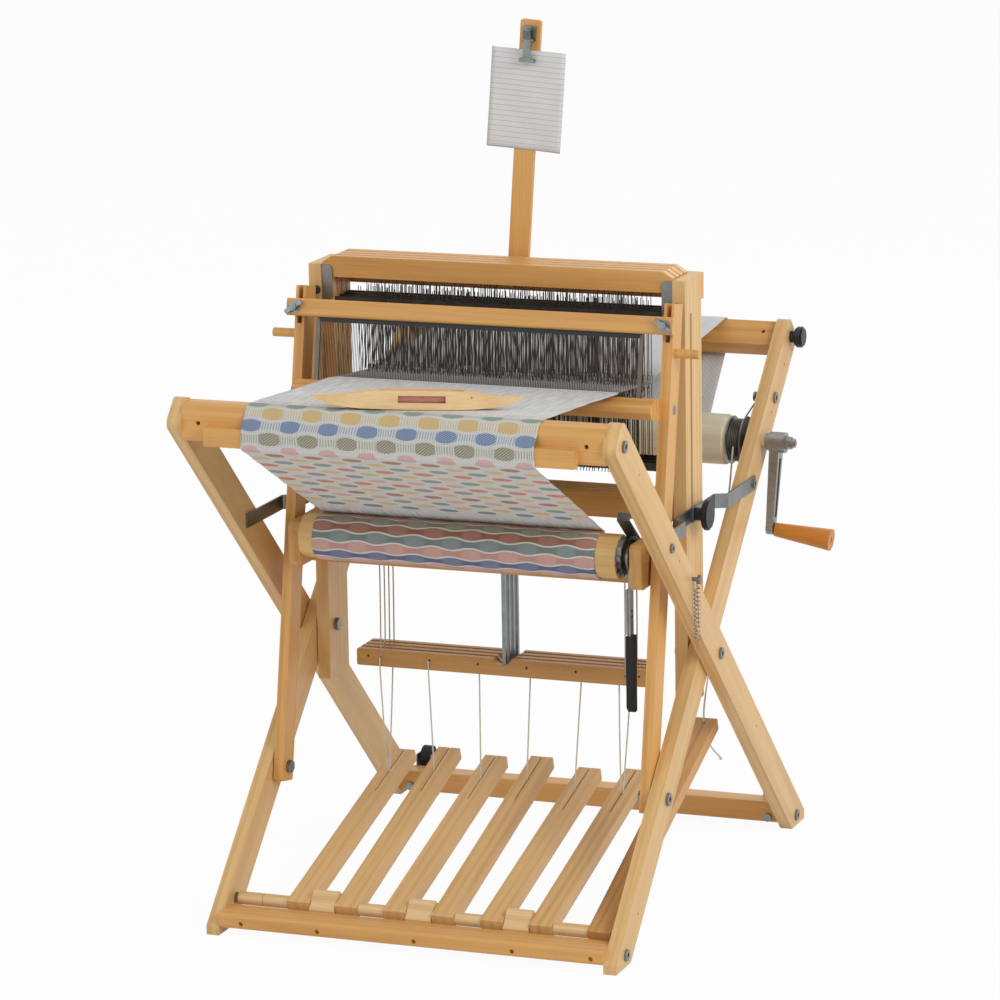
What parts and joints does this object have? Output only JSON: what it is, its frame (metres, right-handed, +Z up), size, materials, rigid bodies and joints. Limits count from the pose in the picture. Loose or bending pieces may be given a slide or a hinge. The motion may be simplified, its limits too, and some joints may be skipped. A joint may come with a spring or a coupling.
{
  "type": "folding floor loom",
  "caption": "Folding wooden floor loom: shaft castle between crossed leg frames, hanging beater, treadles, lamms, cloth and warp beams, crank, brake, woven cloth and shuttle.",
  "frame": {"origin": "on the floor, at the middle of the loom's box from side to side and of its feet from front to back", "axes": "+X to the weaver's right, +Y from the weaver to the back of the loom, +Z up"},
  "size_m": [0.7096, 0.8443, 1.1939],
  "materials": {
    "maple": "oiled maple with fine grain",
    "beam_maple": "pale turned maple",
    "steel": "zinc plated, satin",
    "alloy": "cast, satin",
    "black_plastic": "moulded, fine texture",
    "rubber": "matt",
    "grip_wood": "varnished hardwood",
    "shuttle_wood": "sanded smooth",
    "paper": "printed sheet",
    "cloth": "honeycomb weave in coloured cotton",
    "warp": "pale cotton warp",
    "cord": "braided polyester"
  },
  "bodies": {
    "castle": {"castle_post_left": "maple", "castle_post_right": "maple", "castle_rails": "maple", "castle_hardware": "steel", "cloth_beam_blocks": "maple", "mast": "maple", "note_sheet": "paper", "cloth_web": "cloth", "warp_web": "warp"},
    "note_clip": {"clip_jaw": "steel"},
    "front_frame": {"leg_a_left": "maple", "leg_a_right": "maple", "breast_beam": "maple", "rear_lower_beam": "maple", "front_frame_hardware": "steel"},
    "wheels": {"transport_wheels": "rubber"},
    "rear_frame": {"leg_b_left": "maple", "leg_b_right": "maple", "back_beam": "maple", "front_lower_beam": "maple", "treadle_blocks": "maple", "rear_frame_hardware": "steel", "brake_cord": "cord"},
    "beam_knobs": {"back_beam_knobs": "black_plastic"},
    "straps_front": {"fold_straps_front": "steel"},
    "straps_rear": {"fold_straps_rear": "steel"},
    "slot_knobs": {"fold_knobs": "black_plastic"},
    "beater_link": {"beater_pivots": "steel"},
    "beater": {"sword_left": "maple", "sword_right": "maple", "handtree": "maple", "race_bar": "maple", "reed": "steel", "beater_hardware": "steel"},
    "cloth_beam_body": {"cloth_beam": "beam_maple", "ratchet_wheel": "steel", "cloth_roll": "cloth"},
    "lever": {"ratchet_lever": "steel", "lever_grip": "black_plastic"},
    "pawl_body": {"pawl": "steel"},
    "warp_beam_body": {"warp_beam": "beam_maple", "brake_drum": "steel", "crank_arm": "alloy"},
    "grip": {"crank_grip": "grip_wood"},
    "shuttle_body": {"shuttle": "shuttle_wood"},
    "brake_pedal": {"brake_treadle": "maple"},
    "pedal_1": {"treadle_1": "maple"},
    "pedal_2": {"treadle_2": "maple"},
    "pedal_3": {"treadle_3": "maple"},
    "pedal_4": {"treadle_4": "maple"},
    "pedal_5": {"treadle_5": "maple"},
    "pedal_6": {"treadle_6": "maple"},
    "harness_1": {"shaft_1": "maple"},
    "lamm_body_1": {"lamm_1": "maple"},
    "harness_2": {"shaft_2": "maple"},
    "lamm_body_2": {"lamm_2": "maple"},
    "harness_3": {"shaft_3": "maple"},
    "lamm_body_3": {"lamm_3": "maple"},
    "harness_4": {"shaft_4": "maple"},
    "lamm_body_4": {"lamm_4": "maple"}
  },
  "joints": [
    {"name": "fold_front", "type": "hinge", "parent": "castle", "child": "front_frame", "pos_m": [-0.03949, 0, 0.342], "axis": [-1, 0, 0], "range_deg": [0, 28], "deforming": ["cloth_web", "warp_web"]},
    {"name": "fold_rear", "type": "hinge", "parent": "castle", "child": "rear_frame", "pos_m": [-0.03949, 0, 0.342], "axis": [1, 0, 0], "range_deg": [0, 28.5]},
    {"name": "strap_front", "type": "hinge", "parent": "front_frame", "child": "straps_front", "pos_m": [-0.03949, -0.20484, 0.53436], "axis": [-1, 0, 0], "range_deg": [-92.76, 0.5]},
    {"name": "strap_rear", "type": "hinge", "parent": "rear_frame", "child": "straps_rear", "pos_m": [-0.03949, 0.20484, 0.53436], "axis": [1, 0, 0], "range_deg": [-92.76, 0.5]},
    {"name": "knob_slide", "type": "slide", "parent": "castle", "child": "slot_knobs", "axis": [0, 0, 1], "range_m": [0, 0.2594]},
    {"name": "beater_link_turn", "type": "hinge", "parent": "rear_frame", "child": "beater_link", "pos_m": [-0.03949, -0.17204, 0.18045], "axis": [1, 0, 0], "range_deg": [-20.25, 0.5]},
    {"name": "beater_swing", "type": "hinge", "parent": "beater_link", "child": "beater", "pos_m": [-0.03949, -0.17204, 0.18045], "axis": [1, 0, 0], "range_deg": [0, 2]},
    {"name": "cloth_beam_turn", "type": "hinge", "parent": "castle", "child": "cloth_beam_body", "pos_m": [-0.03949, -0.138, 0.502], "axis": [-1, 0, 0], "continuous": true},
    {"name": "ratchet_lever_swing", "type": "hinge", "parent": "castle", "child": "lever", "pos_m": [-0.03949, -0.138, 0.502], "axis": [-1, 0, 0], "range_deg": [0, 40]},
    {"name": "pawl_lift", "type": "hinge", "parent": "castle", "child": "pawl_body", "pos_m": [-0.03949, -0.104, 0.514], "axis": [-1, 0, 0], "range_deg": [0, 25]},
    {"name": "warp_beam_turn", "type": "hinge", "parent": "rear_frame", "child": "warp_beam_body", "pos_m": [-0.03949, 0.25733, 0.58364], "axis": [1, 0, 0], "continuous": true},
    {"name": "crank_grip_spin", "type": "hinge", "parent": "warp_beam_body", "child": "grip", "pos_m": [0.25921, 0.25733, 0.45965], "axis": [0.9925, 0, -0.1219], "continuous": true},
    {"name": "back_knob_turn", "type": "hinge", "parent": "rear_frame", "child": "beam_knobs", "pos_m": [-0.03949, 0.39073, 0.70892], "axis": [1, 0, 0], "continuous": true},
    {"name": "wheel_spin", "type": "hinge", "parent": "front_frame", "child": "wheels", "pos_m": [-0.03949, 0.38, 0.046], "axis": [1, 0, 0], "continuous": true},
    {"name": "clip_open", "type": "hinge", "parent": "castle", "child": "note_clip", "pos_m": [-0.01241, 0.049, 1.16613], "axis": [-0.9974, 0, 0.0715], "range_deg": [0, 28], "stiffness_Nm_per_rad": 0.02, "springref_deg": -28.65},
    {"name": "shuttle_lift", "type": "slide", "parent": "front_frame", "child": "shuttle_body", "axis": [0, 0, 1], "range_m": [0, 0.15]},
    {"name": "treadle_1_press", "type": "hinge", "parent": "rear_frame", "child": "pedal_1", "pos_m": [-0.03949, -0.326, 0.036], "axis": [-1, 0, 0], "range_deg": [0, 8.6], "stiffness_Nm_per_rad": 1.2, "springref_deg": -25.78},
    {"name": "treadle_2_press", "type": "hinge", "parent": "rear_frame", "child": "pedal_2", "pos_m": [-0.03949, -0.326, 0.036], "axis": [-1, 0, 0], "range_deg": [0, 8.6]},
    {"name": "treadle_3_press", "type": "hinge", "parent": "rear_frame", "child": "pedal_3", "pos_m": [-0.03949, -0.326, 0.036], "axis": [-1, 0, 0], "range_deg": [0, 8.6]},
    {"name": "treadle_4_press", "type": "hinge", "parent": "rear_frame", "child": "pedal_4", "pos_m": [-0.03949, -0.326, 0.036], "axis": [-1, 0, 0], "range_deg": [0, 8.6]},
    {"name": "treadle_5_press", "type": "hinge", "parent": "rear_frame", "child": "pedal_5", "pos_m": [-0.03949, -0.326, 0.036], "axis": [-1, 0, 0], "range_deg": [0, 8.6]},
    {"name": "treadle_6_press", "type": "hinge", "parent": "rear_frame", "child": "pedal_6", "pos_m": [-0.03949, -0.326, 0.036], "axis": [-1, 0, 0], "range_deg": [0, 8.6], "stiffness_Nm_per_rad": 1.2, "springref_deg": -25.78},
    {"name": "brake_press", "type": "hinge", "parent": "rear_frame", "child": "brake_pedal", "pos_m": [-0.03949, -0.326, 0.036], "axis": [-1, 0, 0], "range_deg": [0, 6], "stiffness_Nm_per_rad": 1.6, "springref_deg": -28.65},
    {"name": "shaft_1_rise", "type": "slide", "parent": "castle", "child": "harness_1", "axis": [0, 0, 1], "range_m": [0, 0.052]},
    {"name": "lamm_1_drop", "type": "slide", "parent": "castle", "child": "lamm_body_1", "axis": [0, 0, -1], "range_m": [0, 0.052]},
    {"name": "shaft_2_rise", "type": "slide", "parent": "castle", "child": "harness_2", "axis": [0, 0, 1], "range_m": [0, 0.052]},
    {"name": "lamm_2_drop", "type": "slide", "parent": "castle", "child": "lamm_body_2", "axis": [0, 0, -1], "range_m": [0, 0.052]},
    {"name": "shaft_3_rise", "type": "slide", "parent": "castle", "child": "harness_3", "axis": [0, 0, 1], "range_m": [0, 0.052]},
    {"name": "lamm_3_drop", "type": "slide", "parent": "castle", "child": "lamm_body_3", "axis": [0, 0, -1], "range_m": [0, 0.052]},
    {"name": "shaft_4_rise", "type": "slide", "parent": "castle", "child": "harness_4", "axis": [0, 0, 1], "range_m": [0, 0.052]},
    {"name": "lamm_4_drop", "type": "slide", "parent": "castle", "child": "lamm_body_4", "axis": [0, 0, -1], "range_m": [0, 0.052]}
  ],
  "couplings": [
    {"joint": "fold_rear", "follows": "fold_front", "ratio": 1},
    {"joint": "strap_front", "follows": "fold_front", "ratio": -3.2772},
    {"joint": "strap_rear", "follows": "fold_front", "ratio": -3.2772},
    {"joint": "knob_slide", "follows": "fold_front", "m_per_rad": 0.52669},
    {"joint": "beater_link_turn", "follows": "fold_front", "ratio": -0.70536},
    {"joint": "shaft_1_rise", "follows": "treadle_2_press", "m_per_rad": 0.33311},
    {"joint": "lamm_1_drop", "follows": "treadle_2_press", "m_per_rad": 0.33311},
    {"joint": "shaft_2_rise", "follows": "treadle_3_press", "m_per_rad": 0.33311},
    {"joint": "lamm_2_drop", "follows": "treadle_3_press", "m_per_rad": 0.33311},
    {"joint": "shaft_3_rise", "follows": "treadle_4_press", "m_per_rad": 0.33311},
    {"joint": "lamm_3_drop", "follows": "treadle_4_press", "m_per_rad": 0.33311},
    {"joint": "shaft_4_rise", "follows": "treadle_5_press", "m_per_rad": 0.33311},
    {"joint": "lamm_4_drop", "follows": "treadle_5_press", "m_per_rad": 0.33311}
  ]
}
